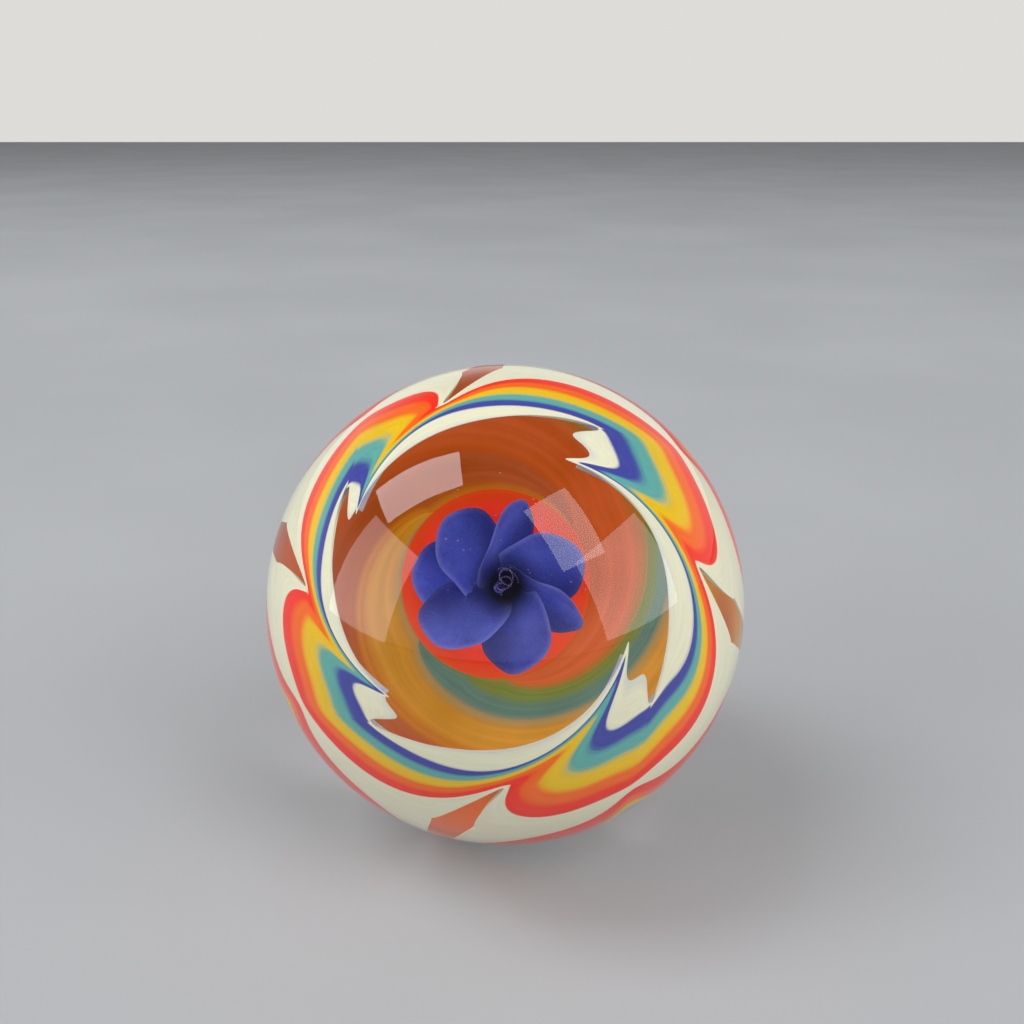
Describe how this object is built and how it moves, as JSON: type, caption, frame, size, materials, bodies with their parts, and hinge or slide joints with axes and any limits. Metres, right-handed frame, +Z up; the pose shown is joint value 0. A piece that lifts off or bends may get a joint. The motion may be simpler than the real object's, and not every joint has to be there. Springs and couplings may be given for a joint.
{
  "type": "glass marble",
  "caption": "Clear glass ball with raked, twisted rings of coloured glass round a clear window, and a blue flower before a twisted cup inside.",
  "frame": {"origin": "centre of the ball", "axes": "+Z up; the clear window leans up and towards -Y, where the viewer is; +X to the viewer's right"},
  "size_m": [0.0508, 0.0508, 0.0508],
  "materials": {
    "clear_glass": "polished, clear",
    "ivory_glass": "opaque, fire polished",
    "blue_glass": "opaque, fire polished",
    "teal_glass": "opaque, fire polished",
    "yellow_glass": "opaque, fire polished",
    "orange_glass": "opaque, fire polished",
    "red_glass": "opaque, fire polished",
    "petal_glass": "opaque, fine grained",
    "cup_red_glass": "opaque, soft edged",
    "amber_glass": "opaque, soft edged",
    "ochre_glass": "opaque, soft edged",
    "sea_glass": "opaque, soft edged",
    "moss_glass": "opaque, soft edged",
    "burnt_orange_glass": "opaque, soft edged"
  },
  "bodies": {
    "root": {"clear_casing": "clear_glass", "ivory_lip": "ivory_glass", "blue_upper": "blue_glass", "teal_upper": "teal_glass", "yellow_upper": "yellow_glass", "orange_upper": "orange_glass", "red_upper": "red_glass", "ivory_waist": "ivory_glass", "red_lower": "red_glass", "orange_lower": "orange_glass", "yellow_lower": "yellow_glass", "teal_lower": "teal_glass", "blue_lower": "blue_glass", "ivory_lower": "ivory_glass", "petal_1": "petal_glass", "petal_2": "petal_glass", "petal_3": "petal_glass", "petal_4": "petal_glass", "petal_5": "petal_glass", "petal_6": "petal_glass", "petal_7": "petal_glass", "cup_red": "cup_red_glass", "cup_amber": "amber_glass", "cup_ochre": "ochre_glass", "cup_teal": "sea_glass", "cup_green": "moss_glass", "cup_orange": "burnt_orange_glass"}
  },
  "joints": []
}
